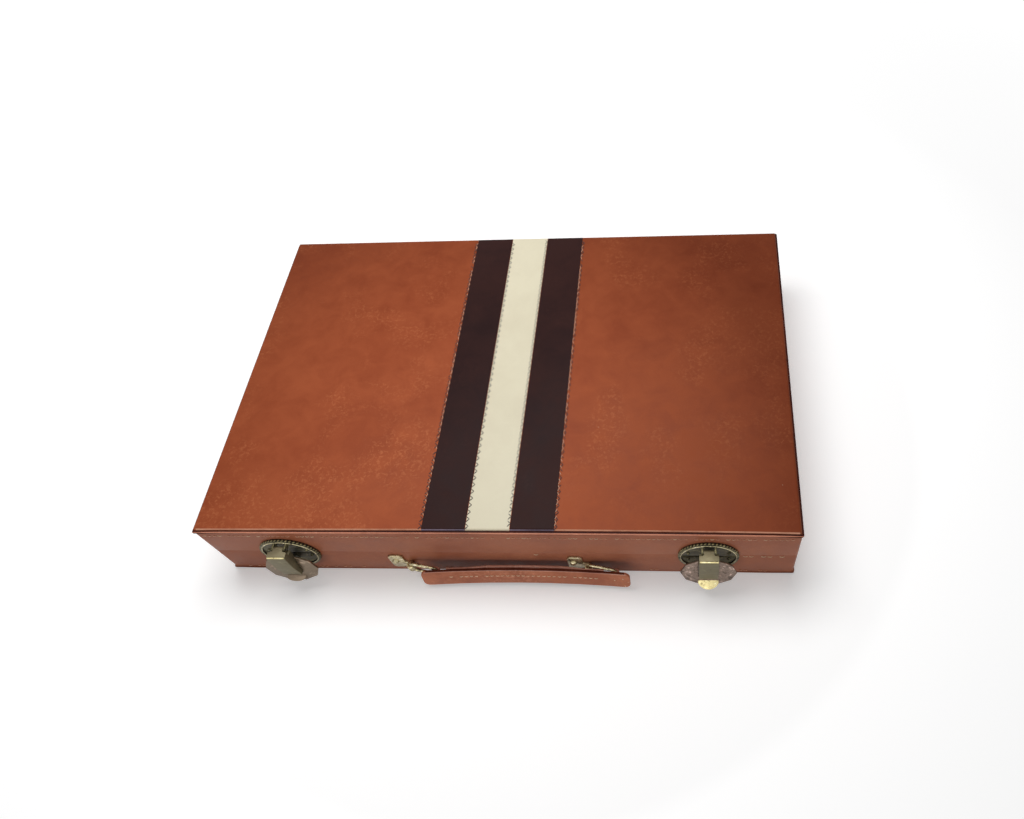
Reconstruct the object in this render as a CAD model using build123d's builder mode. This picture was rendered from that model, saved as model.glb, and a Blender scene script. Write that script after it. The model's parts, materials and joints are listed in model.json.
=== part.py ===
from build123d import *

import os
from math import cos, pi, radians, sin, sqrt

# A backgammon board that folds into its own attache case.
# X runs along the hinge, Y from the handle to the hinge, Z up.
# The origin is the middle of the closed case's underside. Millimetres.

# Case
case_length = 380.0
case_depth = 253.0
half_height = 28.8
corner_radius = 3.0
cover_leather = 1.4
cover_lip = 0.7
cover_edge_bevel = 0.9
band_leather = 0.8
board_thickness = 2.8
wall_thickness = 7.0
wood_corner_cut = 0.9

# Stripes sewn across the lid
strip_width = 27.6
strips_centre_x = -1.1

# Playing surface
field_thickness = 2.0
field_gap = 0.2
trough_width = 34.0
rail_width = 6.0
rail_drop = 1.5
rail_round = 1.5
points_per_side = 6
point_length = 150.0
point_inlay = 0.8
point_margin = 3.0
point_gap = 1.6

# Piano hinge
hinge_length = 340.0
knuckle_count = 7
knuckle_radius = 2.0
knuckle_end_gap = 0.3
hinge_clearance = 0.3
hinge_pin_radius = 0.8
leaf_width = 7.8
leaf_thickness = 1.0
running_gap = 0.06

# Snap latches
latch_from_end = 54.5
latches_centre_x = -1.6
plate_radius = 18.9
plate_floor = 1.0
plate_rim_height = 2.0
plate_rim_width = 1.8
plate_seam_gap = 0.2
latch_pin_radius = 0.9
latch_pin_rise = 14.4
latch_pin_stand = 5.2
knuckle_wall = 1.0
lug_width = 1.3
lug_side_gap = 0.15
neck_width = 6.4
bar_width = 12.0
bar_front_stand = 12.3
bar_crease_stand = 12.8
bar_foot_stand = 11.9
bar_length = 27.0
cap_half_width = 17.7
cap_half_height = 14.0
cap_sides = 10
cap_tilt = 10.0
cap_drop = 21.8
cap_rim_thickness = 1.2
cap_crown_height = 2.0
cap_crown_share = 0.53
cap_back_offset = 0.9
slot_side_gap = 0.3
slot_end_gap = 0.8
lip_width = 13.0
lip_reach = 4.3
lip_root = 2.0
lip_thickness = 1.4
lip_start_rise = 2.4
lip_start_drop = 10.2
lip_flare = 37.5
bar_front_chamfer = 1.1
neck_chamfer = 2.4
stud_radius = 2.6
stud_stand = 6.7
stud_drop = 8.0
clip_gap = 0.3
clip_leaf = 0.6
clip_length = 8.0
clip_reach = 2.4
clip_base = 0.8
clip_leaf_width = 16.0
clip_leaf_length = 14.0
clip_leaf_corner = 1.5
clip_leaf_rise = 1.0

# Handle
eye_left_x = -61.0
eye_right_x = 57.0
eye_stand = 3.0
eye_wall = 1.5
eye_height = 5.4
handle_z = 12.0
bracket_width = 9.6
bracket_height = 17.0
bracket_thickness = 1.4
bracket_corner = 2.0
bracket_top_above_eye = 12.5
rivet_from_eye = 9.8
rivet_above_eye = 4.4
rivet_off_middle = 1.3
rivet_head_radius = 2.4
rivet_head_height = 1.8
link_wire_radius = 1.1
link_length = 18.0
link_height = 10.0
link_lean = 11.0
link_gap = 0.08
strap_leather = 2.0
strap_height = 15.0
strap_z = 8.7
strap_end_overhang = 7.0
strap_corner = 4.0
strap_bow = 2.0
pad_leather = 1.6
pad_height = 13.6
pad_end_inset = 7.5
tab_leather = 1.2
tab_height = 5.2
tab_gap = 0.15
tab_reach = 6.5

# Game pieces
checkers_per_player = 15
checker_diameter = 29.6
checker_thickness = 8.0
checker_sides = 20
checker_gap = 0.25
piece_clearance = 0.1
cup_radius = 19.0
cup_wall = 2.2
cup_floor = 3.0
cup_length = 72.0
cup_sides = 32
cup_end_gap = 5.0
cup_side_gap = 8.0
die_size = 13.0
dice_per_cup = 2
die_gap = 0.6
doubling_cube_size = 20.0

# Worked-out places
seam_z = half_height
latch_reach_x = case_length / 2 - latch_from_end
latch_left_x = latches_centre_x - latch_reach_x
latch_right_x = latches_centre_x + latch_reach_x
case_height = 2 * half_height
seam_plane = Plane.XY.offset(seam_z)
band_length = case_length - 2 * cover_lip
band_depth = case_depth - 2 * cover_lip
band_radius = corner_radius - cover_lip
frame_length = band_length - 2 * band_leather
frame_depth = band_depth - 2 * band_leather
board_bottom_z = cover_leather
board_top_z = cover_leather + board_thickness
frame_top_z = seam_z - band_leather
room_length = frame_length - 2 * wall_thickness - 2 * band_leather
room_depth = frame_depth - 2 * wall_thickness - 2 * band_leather
field_top_z = board_top_z + field_thickness
front_y = -band_depth / 2
back_y = band_depth / 2
trough_back_y = -room_depth / 2 + trough_width
play_front_y = trough_back_y + rail_width
play_depth = room_depth / 2 - play_front_y
point_pitch = play_depth / points_per_side
hinge_y = back_y + hinge_clearance + knuckle_radius
knuckle_pitch = hinge_length / knuckle_count
bore_radius = hinge_pin_radius + running_gap
latch_pin_y = front_y - latch_pin_stand
latch_pin_z = seam_z + latch_pin_rise
latch_knuckle_radius = latch_pin_radius + knuckle_wall
eye_y = front_y - eye_stand
eye_radius = link_wire_radius + eye_wall
tip_shift_x = link_length * cos(radians(link_lean))
tip_left_x = eye_left_x + tip_shift_x
tip_right_x = eye_right_x + tip_shift_x
tip_y = eye_y - link_length * sin(radians(link_lean))
loop_inner_radius = link_wire_radius + tab_gap
loop_outer_radius = loop_inner_radius + tab_leather
strap_back_y = tip_y - loop_outer_radius
strap_middle_x = (tip_left_x + tip_right_x) / 2
cup_floor_x = room_length / 2 - cup_end_gap - cup_floor
cup_lie_z = field_top_z + piece_clearance + cup_radius
cup_bore_radius = cup_radius - cup_wall
cup_flat_radius = cup_bore_radius * cos(radians(180 / cup_sides))
die_sink = sqrt(cup_flat_radius**2 - (die_size / 2) ** 2) - piece_clearance
tip_half_span = (tip_right_x - tip_left_x) / 2
bow_radius = (tip_half_span**2 + strap_bow**2) / (2 * strap_bow)
bow_centre_y = strap_back_y + strap_bow - bow_radius


def front_plane(x, z, stand=0.0):
    """A plane facing the player: its X is +X and its Y is +Z."""
    return Plane(origin=(x, front_y - stand, z), x_dir=(1, 0, 0), z_dir=(0, -1, 0))


def side_plane(x):
    """A plane across the front: its X is the distance out from the case, its Y is Z."""
    return Plane(origin=(x, front_y, 0), x_dir=(0, -1, 0), z_dir=(-1, 0, 0))


def save(piece, label):
    """Labels a finished piece and writes it."""
    piece.label = label
    export_step(piece, f"parts/{label}.step")


def mirrored(piece):
    """The lid's twin of a piece of the base."""
    with BuildPart() as twin:
        mirror(piece, about=seam_plane)
    return twin.part


# The two trays: boards, leather and playing surface


def wood_outline():
    """The outline of the wooden tray, with its corners cut for the leather."""
    with BuildSketch() as outline:
        Rectangle(frame_length, frame_depth)
        chamfer(outline.vertices(), wood_corner_cut)
    return outline.sketch


def cover():
    """The leather panel of one large face, standing a little proud of the sides."""
    with BuildPart() as leather:
        with BuildSketch() as outline:
            RectangleRounded(case_length, case_depth, corner_radius)
        extrude(amount=cover_leather)
        chamfer(leather.edges().group_by(Axis.Z)[0], cover_edge_bevel)
    return leather.part


def board():
    """The flat board that closes one tray."""
    with BuildPart() as flat:
        with BuildSketch(Plane.XY.offset(board_bottom_z)) as outline:
            add(wood_outline())
        extrude(amount=board_thickness)
    return flat.part


def frame():
    """Four mitred boards that stand on the flat board as the tray's walls."""
    half_x = frame_length / 2
    half_y = frame_depth / 2
    outer = [(-half_x, -half_y), (half_x, -half_y), (half_x, half_y), (-half_x, half_y)]
    inner = [(x - wall_thickness * x / abs(x), y - wall_thickness * y / abs(y)) for x, y in outer]
    walls = []
    for index in range(4):
        following = (index + 1) % 4
        with BuildPart() as wall:
            with BuildSketch(Plane.XY.offset(board_top_z)) as outline:
                add(wood_outline())
                corners = (outer[index], outer[following], inner[following], inner[index])
                Polygon(*corners, align=None, mode=Mode.INTERSECT)
            extrude(amount=frame_top_z - board_top_z)
            add(hinge_recess(), mode=Mode.SUBTRACT)
        walls.append(wall.solid())
    return Compound(walls)


def hinge_recess():
    """The space that the hinge leaf takes from the back rim."""
    with BuildPart() as recess:
        with BuildSketch(seam_plane) as outline:
            with Locations((0, back_y - leaf_width / 2)):
                Rectangle(hinge_length, leaf_width)
        extrude(amount=-leaf_thickness)
    return recess.part


def band():
    """The leather round the sides, turned over the rim and down the inside of the walls."""
    with BuildPart() as leather:
        with BuildSketch(Plane.XY.offset(cover_leather)) as outline:
            RectangleRounded(band_length, band_depth, band_radius)
        extrude(amount=seam_z - cover_leather)
        with BuildSketch(Plane.XY.offset(cover_leather)) as wood:
            add(wood_outline())
        extrude(amount=frame_top_z - cover_leather, mode=Mode.SUBTRACT)
        with BuildSketch(Plane.XY.offset(board_top_z)) as lining:
            Rectangle(room_length + 2 * band_leather, room_depth + 2 * band_leather)
        extrude(amount=seam_z - board_top_z)
        with BuildSketch(Plane.XY.offset(board_top_z)) as room:
            Rectangle(room_length, room_depth)
        extrude(amount=seam_z - board_top_z, mode=Mode.SUBTRACT)
        add(hinge_recess(), mode=Mode.SUBTRACT)
    return leather.part


def point_outlines(shade, half):
    """The corners of one shade's points; shades alternate along a side and across the board."""
    outlines = []
    edge_x = room_length / 2 - point_margin
    half_width = (point_pitch - point_gap) / 2
    for side in (-1, 1):
        for index in range(points_per_side):
            if (index + half + (side + 1) // 2) % 2 != shade:
                continue
            y = play_front_y + (index + 0.5) * point_pitch
            outlines.append(
                [
                    (side * edge_x, y - half_width),
                    (side * edge_x, y + half_width),
                    (side * (edge_x - point_length), y),
                ]
            )
    return outlines


def points(shade, half):
    """The inlaid triangles of one shade in one half of the board."""
    with BuildPart() as inlay:
        with BuildSketch(Plane.XY.offset(field_top_z - point_inlay)) as outline:
            for corners in point_outlines(shade, half):
                Polygon(*corners, align=None)
        extrude(amount=point_inlay)
    return inlay.part


def field(half):
    """The playing surface, with a pocket under each point."""
    with BuildPart() as surface:
        with BuildSketch(Plane.XY.offset(board_top_z)) as outline:
            Rectangle(room_length - 2 * field_gap, room_depth - 2 * field_gap)
        extrude(amount=field_thickness)
        for shade in (0, 1):
            add(points(shade, half), mode=Mode.SUBTRACT)
    return surface.part


def rail():
    """The strip that parts the checker trough from the playing surface."""
    top_z = seam_z - rail_drop
    with BuildPart() as strip:
        with BuildSketch(Plane.YZ) as section:
            with Locations(((trough_back_y + play_front_y) / 2, (field_top_z + top_z) / 2)):
                Rectangle(rail_width, top_z - field_top_z)
            fillet(section.vertices().group_by(Axis.Z)[-1], rail_round)
        extrude(amount=room_length / 2 - field_gap, both=True)
    return strip.part


# The piano hinge


def hinge_pin():
    with BuildPart() as pin:
        with BuildSketch(Plane.YZ) as section:
            with Locations((hinge_y, seam_z)):
                Circle(hinge_pin_radius)
        extrude(amount=hinge_length / 2, both=True)
    return pin.part


def hinge_leaf(first_knuckle):
    """A leaf let into the rim, with every other knuckle rolled round the pin."""
    knuckle_length = knuckle_pitch - knuckle_end_gap
    with BuildPart() as leaf:
        add(hinge_recess())
        for index in range(first_knuckle, knuckle_count, 2):
            start_x = -hinge_length / 2 + index * knuckle_pitch + knuckle_end_gap / 2
            with BuildSketch(Plane.YZ.offset(start_x)) as section:
                with Locations((hinge_y, seam_z)):
                    Circle(knuckle_radius)
                with Locations(((back_y + hinge_y) / 2, seam_z - leaf_thickness / 2)):
                    Rectangle(hinge_y - back_y, leaf_thickness)
                with Locations((hinge_y, seam_z)):
                    Circle(bore_radius, mode=Mode.SUBTRACT)
            extrude(amount=knuckle_length)
    return leaf.part


# The snap latches


def latch_plate(x, side):
    """One half of the round escutcheon; side is 1 for the lid's half, -1 for the base's."""
    place = front_plane(x, seam_z)
    rise = plate_radius - plate_seam_gap
    with BuildPart() as plate:
        with BuildSketch(place) as outline:
            Circle(plate_radius)
            with Locations((0, side * (plate_seam_gap + rise / 2))):
                Rectangle(2 * plate_radius, rise, mode=Mode.INTERSECT)
        extrude(amount=plate_rim_height)
        with BuildSketch(place.offset(plate_floor)) as dish:
            Circle(plate_radius - plate_rim_width)
        extrude(amount=plate_rim_height - plate_floor, mode=Mode.SUBTRACT)
        if side > 0:
            add(latch_lugs(x))
            add(latch_pin(x, running_gap), mode=Mode.SUBTRACT)
    return plate.part


def latch_lugs(x):
    """Two ears on the lid's plate that hold the latch pin."""
    inner = neck_width / 2 + lug_side_gap
    with BuildPart() as lugs:
        for side in (-1, 1):
            with BuildSketch(side_plane(x + side * (inner + lug_width / 2))) as ear:
                with Locations((latch_pin_stand, latch_pin_z)):
                    Circle(latch_knuckle_radius)
                with Locations((latch_pin_stand / 2, latch_pin_z)):
                    Rectangle(latch_pin_stand, 2 * latch_knuckle_radius)
            extrude(amount=lug_width / 2, both=True)
    return lugs.part


def latch_pin(x, growth=0.0):
    """The pin that the snap turns on; growth widens it into its own bore."""
    reach = neck_width / 2 + lug_side_gap + lug_width
    with BuildPart() as pin:
        with BuildSketch(side_plane(x)) as section:
            with Locations((latch_pin_stand, latch_pin_z)):
                Circle(latch_pin_radius + growth)
        extrude(amount=reach, both=True)
    return pin.part


def latch_stud(x):
    """The stud on the base's plate that the snap closes over."""
    with BuildPart() as stud:
        with BuildSketch(front_plane(x, seam_z - stud_drop, plate_floor)) as foot:
            Circle(stud_radius)
        extrude(amount=stud_stand - plate_floor)
    return stud.part


def cap_plane(x):
    """The back of the tilted cap, at its middle: Y runs up the cap, Z out of the case."""
    tilt = radians(cap_tilt)
    outward = Vector(0, -cos(tilt), sin(tilt))
    upward = Vector(0, sin(tilt), cos(tilt))
    origin = Vector(x, latch_pin_y, latch_pin_z) - upward * cap_drop - outward * cap_back_offset
    return Plane(origin=origin, x_dir=(1, 0, 0), z_dir=outward)


def cap_outline(share):
    """The corners of the oval cap, or of its crown, which is a share of it."""
    turns = [2 * pi * corner / cap_sides for corner in range(cap_sides)]
    return [(share * cap_half_width * cos(turn), share * cap_half_height * sin(turn)) for turn in turns]


def snap_cap(x):
    """The faceted cap that a thumb pulls, slotted for the bar, with its lip at the bottom."""
    place = cap_plane(x)
    slot_half = bar_width / 2 + slot_side_gap
    slot_foot = cap_drop - bar_length + latch_knuckle_radius - slot_end_gap
    with BuildPart() as cap:
        with BuildSketch(place) as rim:
            Polygon(*cap_outline(1), align=None)
        extrude(amount=cap_rim_thickness)
        with BuildSketch(place.offset(cap_rim_thickness)) as crown_foot:
            Polygon(*cap_outline(1), align=None)
        with BuildSketch(place.offset(cap_rim_thickness + cap_crown_height)) as crown_top:
            Polygon(*cap_outline(cap_crown_share), align=None)
        loft([crown_foot.sketch, crown_top.sketch], ruled=True)
        with BuildSketch(place) as slot:
            with Locations((0, slot_foot + cap_half_height)):
                Rectangle(2 * slot_half, 2 * cap_half_height)
        extrude(amount=cap_rim_thickness + cap_crown_height, mode=Mode.SUBTRACT)
        add(thumb_lip(x))
    return cap.part


def thumb_lip(x):
    """The round tongue that flares out of the cap's foot."""
    place = cap_plane(x)
    flare = radians(lip_flare)
    origin = place.origin + place.z_dir * lip_start_rise - place.y_dir * lip_start_drop
    underside = -place.z_dir * cos(flare) - place.y_dir * sin(flare)
    half = lip_width / 2
    with BuildPart() as lip:
        with BuildSketch(Plane(origin=origin, x_dir=place.x_dir, z_dir=underside)) as tongue:
            with BuildLine():
                ThreePointArc((-half, 0), (0, lip_reach), (half, 0))
                Polyline((half, 0), (half, -lip_root), (-half, -lip_root), (-half, 0))
            make_face()
        extrude(amount=lip_thickness)
    return lip.part


def snap_bar(x):
    """The bar in the middle of the snap: a knuckle at its top, a riveted foot behind the cap."""
    top_z = latch_pin_z + latch_knuckle_radius
    foot_z = latch_pin_z - bar_length + latch_knuckle_radius
    tilt = radians(cap_tilt)
    clear = latch_knuckle_radius + lug_side_gap + running_gap
    shoulder_z = latch_pin_z - clear

    def back_stand(z):
        """Distance from the case to the cap's back at height z."""
        return latch_pin_stand - cap_back_offset / cos(tilt) + (latch_pin_z - z) * sin(tilt) / cos(tilt)

    with BuildPart() as bar:
        with BuildSketch(side_plane(x)) as section:
            Polygon(
                (latch_pin_stand, top_z),
                (bar_front_stand - bar_front_chamfer, top_z),
                (bar_front_stand, top_z - bar_front_chamfer),
                (bar_crease_stand, (top_z + foot_z) / 2),
                (bar_foot_stand, foot_z),
                (back_stand(foot_z), foot_z),
                (back_stand(shoulder_z), shoulder_z),
                (latch_pin_stand, shoulder_z),
                align=None,
            )
            with Locations((latch_pin_stand, latch_pin_z)):
                Circle(latch_knuckle_radius)
        extrude(amount=bar_width / 2, both=True)
        for side in (-1, 1):
            with BuildSketch(Plane.XY.offset(shoulder_z)) as relief:
                Polygon(
                    (x + side * neck_width / 2, latch_pin_y + 2 * clear),
                    (x + side * bar_width, latch_pin_y + 2 * clear),
                    (x + side * bar_width, latch_pin_y - clear - neck_chamfer),
                    (x + side * neck_width / 2, latch_pin_y - clear),
                    align=None,
                )
            extrude(amount=2 * clear, mode=Mode.SUBTRACT)
        add(latch_pin(x, running_gap), mode=Mode.SUBTRACT)
    return bar.part


def snap_clip(x):
    """The spring behind the cap: a leaf over the cap's back, with two cheeks that pass the stud."""
    place = cap_plane(x)
    cheek = stud_radius + clip_gap
    stud_height = (seam_z - stud_drop - latch_pin_z) / cos(radians(cap_tilt)) + cap_drop
    with BuildPart() as clip:
        with BuildSketch(place) as leaf:
            with Locations((0, stud_height + clip_leaf_rise)):
                Rectangle(clip_leaf_width, clip_leaf_length)
            chamfer(leaf.vertices(), clip_leaf_corner)
        extrude(amount=-clip_base)
        with BuildSketch(place.offset(-clip_base)) as cheeks:
            for side in (-1, 1):
                with Locations((side * (cheek + clip_leaf / 2), stud_height)):
                    Rectangle(clip_leaf, clip_length)
        extrude(amount=-clip_reach)
    return clip.part


# The handle


def bracket(eye_x):
    """A riveted plate whose right edge curls into the eye of a link."""
    plate_middle_x = eye_x - rivet_from_eye + rivet_off_middle
    plate_middle_z = handle_z + bracket_top_above_eye - bracket_height / 2
    with BuildPart() as piece:
        with BuildSketch(front_plane(plate_middle_x, plate_middle_z)) as plate:
            Rectangle(bracket_width, bracket_height)
            chamfer(plate.vertices(), bracket_corner)
        extrude(amount=bracket_thickness)
        with BuildSketch(front_plane((plate_middle_x + eye_x) / 2, handle_z)) as tongue:
            Rectangle(eye_x - plate_middle_x, eye_height)
        extrude(amount=bracket_thickness)
        with BuildSketch(Plane.XY.offset(handle_z - eye_height / 2)) as eye:
            with Locations((eye_x, eye_y)):
                Circle(eye_radius)
        extrude(amount=eye_height)
        with BuildSketch(Plane.XY.offset(handle_z - eye_height / 2)) as bore:
            with Locations((eye_x, eye_y)):
                Circle(link_wire_radius + link_gap)
        extrude(amount=eye_height, mode=Mode.SUBTRACT)
    return piece.part


def bracket_rivets():
    """The heads of the rivets that hold the two brackets to the front wall."""
    with BuildPart() as rivets:
        for eye_x in (eye_left_x, eye_right_x):
            centre_x = eye_x - rivet_from_eye
            with BuildSketch(front_plane(centre_x, handle_z + rivet_above_eye, bracket_thickness)) as head:
                Circle(rivet_head_radius)
            extrude(amount=rivet_head_height)
    return rivets.part


def link(eye_x):
    """A square ring of round wire between a bracket's eye and the strap."""
    lean = radians(link_lean)
    along = (cos(lean), -sin(lean), 0)
    middle = (eye_x + tip_shift_x / 2, (eye_y + tip_y) / 2, handle_z)
    ring_plane = Plane(origin=middle, x_dir=along, z_dir=(-sin(lean), -cos(lean), 0))
    reach = link_length / 2
    rise = link_height / 2
    with BuildPart() as ring:
        with BuildLine(ring_plane) as half_path:
            Polyline((0, rise), (reach, rise), (reach, -rise), (0, -rise))
        with BuildSketch(Plane(origin=half_path.line @ 0, z_dir=half_path.line % 0)) as section:
            Circle(link_wire_radius)
        sweep(transition=Transition.RIGHT)
        mirror(about=Plane(origin=middle, z_dir=along))
    return ring.part


def bowed_layer(start_x, end_x, middle_z, height, inner_radius, outer_radius):
    """A layer of leather between two radii of the strap's bow, which bulges towards the case."""
    with BuildPart() as layer:
        with BuildSketch(Plane.XY.offset(middle_z - height / 2)) as outline:
            with BuildLine():
                near = [bow_point(x, outer_radius) for x in (start_x, (start_x + end_x) / 2, end_x)]
                far = [bow_point(x, inner_radius) for x in (start_x, (start_x + end_x) / 2, end_x)]
                ThreePointArc(*near)
                ThreePointArc(*far)
                Line(near[0], far[0])
                Line(near[2], far[2])
            make_face()
        extrude(amount=height)
    return layer.part


def bow_point(x, radius):
    """The point at x on a circle about the bow's centre."""
    return (x, bow_centre_y + sqrt(radius**2 - (x - strap_middle_x) ** 2))


def strap_outer():
    """The visible strap of the handle, with rounded ends."""
    start_x = tip_left_x - strap_end_overhang
    end_x = tip_right_x + strap_end_overhang
    with BuildPart() as strap:
        add(bowed_layer(start_x, end_x, strap_z, strap_height, bow_radius - strap_leather, bow_radius))
        fillet(strap.edges().filter_by(Axis.Y), strap_corner)
    return strap.part


def strap_pad():
    """The inner leather that thickens the grip between the links."""
    start_x = tip_left_x + pad_end_inset
    end_x = tip_right_x - pad_end_inset
    with BuildPart() as pad:
        add(bowed_layer(start_x, end_x, strap_z, pad_height, bow_radius, bow_radius + pad_leather))
    return pad.part


def strap_loop(tip_x):
    """A leather loop round the outer end of a link, sewn flat to the back of the strap."""
    start_x = tip_x - tab_reach
    end_x = tip_x + tab_reach
    with BuildPart() as loop:
        with BuildSketch(Plane.XY.offset(handle_z - tab_height / 2)) as ring:
            with Locations((tip_x, tip_y)):
                Circle(loop_outer_radius)
        extrude(amount=tab_height)
        add(bowed_layer(start_x, end_x, handle_z, tab_height, bow_radius, bow_radius + tab_leather))
        add(
            bowed_layer(start_x, end_x, handle_z, strap_height, bow_radius - strap_leather, bow_radius),
            mode=Mode.SUBTRACT,
        )
        with BuildSketch(Plane.XY.offset(handle_z - tab_height / 2)) as bore:
            with Locations((tip_x, tip_y)):
                Circle(loop_inner_radius)
        extrude(amount=tab_height, mode=Mode.SUBTRACT)
    return loop.part


# The game pieces


def checkers(first_x, direction):
    """One player's checkers, in a row on edge in the trough."""
    radius = checker_diameter / 2
    centre_y = (trough_back_y - room_depth / 2) / 2
    centre_z = field_top_z + piece_clearance + radius
    row = []
    for index in range(checkers_per_player):
        near_x = first_x + direction * index * (checker_thickness + checker_gap)
        middle_x = near_x + direction * checker_thickness / 2
        with BuildPart() as checker:
            with BuildSketch(Plane.YZ.offset(middle_x)) as disc:
                with Locations((centre_y, centre_z)):
                    RegularPolygon(radius, checker_sides)
            extrude(amount=checker_thickness / 2, both=True)
        row.append(checker.solid())
    return Compound(row)


def cup_centre_y(order):
    """The first cup lies near the hinge, the next in front of it."""
    return room_depth / 2 - cup_side_gap - cup_radius - order * (2 * cup_radius + cup_side_gap)


def dice_cup(order):
    """A cup lying on the playing surface, its floor to the right."""
    across = Plane.YZ.offset(cup_floor_x + cup_floor)
    with BuildPart() as cup:
        with BuildSketch(across) as outline:
            with Locations((cup_centre_y(order), cup_lie_z)):
                RegularPolygon(cup_radius, cup_sides)
        extrude(amount=-cup_length)
        with BuildSketch(across.offset(-cup_floor)) as bore:
            with Locations((cup_centre_y(order), cup_lie_z)):
                RegularPolygon(cup_bore_radius, cup_sides)
        extrude(amount=cup_floor - cup_length, mode=Mode.SUBTRACT)
    return cup.part


def dice():
    """Two dice in the bottom of each cup."""
    cubes = []
    for order in (0, 1):
        for index in range(dice_per_cup):
            far_x = cup_floor_x - die_gap - index * (die_size + die_gap)
            with BuildPart() as die:
                with BuildSketch(Plane.XY.offset(cup_lie_z - die_sink)) as foot:
                    with Locations((far_x - die_size / 2, cup_centre_y(order))):
                        Rectangle(die_size, die_size)
                extrude(amount=die_size)
            cubes.append(die.solid())
    return Compound(cubes)


def doubling_cube():
    """The cube that doubles the stake, standing between the rows of checkers."""
    centre_y = (trough_back_y - room_depth / 2) / 2
    with BuildPart() as cube:
        with BuildSketch(Plane.XY.offset(field_top_z + piece_clearance)) as foot:
            with Locations((0, centre_y)):
                Rectangle(doubling_cube_size, doubling_cube_size)
        extrude(amount=doubling_cube_size)
    return cube.part


os.makedirs("parts", exist_ok=True)

# Base
save(cover(), "base_cover")
save(board(), "base_board")
save(frame(), "base_frame")
save(band(), "base_band")
save(field(0), "base_field")
save(points(0, 0), "base_light_points")
save(points(1, 0), "base_dark_points")
save(rail(), "base_rail")
save(hinge_leaf(0), "base_hinge_leaf")
save(hinge_pin(), "hinge_pin")

# Lid
lid_cover = mirrored(cover())
save(mirrored(board()), "lid_board")
save(Compound([mirrored(wall).solid() for wall in frame().solids()]), "lid_frame")
save(mirrored(band()), "lid_band")
save(mirrored(field(1)), "lid_field")
save(mirrored(points(0, 1)), "lid_light_points")
save(mirrored(points(1, 1)), "lid_dark_points")
save(mirrored(rail()), "lid_rail")
save(mirrored(hinge_leaf(1)), "lid_hinge_leaf")


def lid_slab(low_x, high_x):
    """The part of the lid's cover between two seams."""
    with BuildPart() as strip:
        add(lid_cover)
        with BuildSketch(Plane.XY) as slab:
            with Locations(((low_x + high_x) / 2, 0)):
                Rectangle(high_x - low_x, 2 * case_depth)
        extrude(amount=2 * case_height, mode=Mode.INTERSECT)
    return strip.solid()


seams_x = [strips_centre_x + strip_width * step for step in (-1.5, -0.5, 0.5, 1.5)]
save(
    Compound([lid_slab(-case_length, seams_x[0]), lid_slab(seams_x[3], case_length)]),
    "lid_tan_leather",
)
save(
    Compound([lid_slab(seams_x[0], seams_x[1]), lid_slab(seams_x[2], seams_x[3])]),
    "lid_dark_strips",
)
save(Compound([lid_slab(seams_x[1], seams_x[2])]), "lid_cream_strip")

# Latches
latch_places = (("left", latch_left_x), ("right", latch_right_x))
save(Compound([latch_plate(x, 1).solid() for _, x in latch_places]), "latch_plates")
save(Compound([latch_plate(x, -1).solid() for _, x in latch_places]), "latch_keepers")
for hand, x in latch_places:
    save(latch_stud(x), f"latch_stud_{hand}")
    save(latch_pin(x), f"latch_pin_{hand}")
    save(snap_cap(x), f"snap_cap_{hand}")
    save(snap_bar(x), f"snap_bar_{hand}")
    save(snap_clip(x), f"snap_clip_{hand}")

# Handle
for hand, eye_x in (("left", eye_left_x), ("right", eye_right_x)):
    save(bracket(eye_x), f"bracket_{hand}")
    save(link(eye_x), f"link_{hand}")
save(bracket_rivets(), "bracket_rivets")
save(strap_outer(), "strap_outer")
save(strap_pad(), "strap_pad")
save(strap_loop(tip_left_x), "strap_loop_left")
save(strap_loop(tip_right_x), "strap_loop_right")

# Game pieces
row_start_x = room_length / 2 - cup_end_gap
save(checkers(-row_start_x, 1), "checkers_light")
save(checkers(row_start_x, -1), "checkers_dark")
save(dice_cup(0), "dice_cup_back")
save(dice_cup(1), "dice_cup_front")
save(dice(), "dice")
save(doubling_cube(), "doubling_cube")
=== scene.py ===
import json
import math
import random

import bmesh
import bpy
from mathutils import Matrix, Vector

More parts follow.
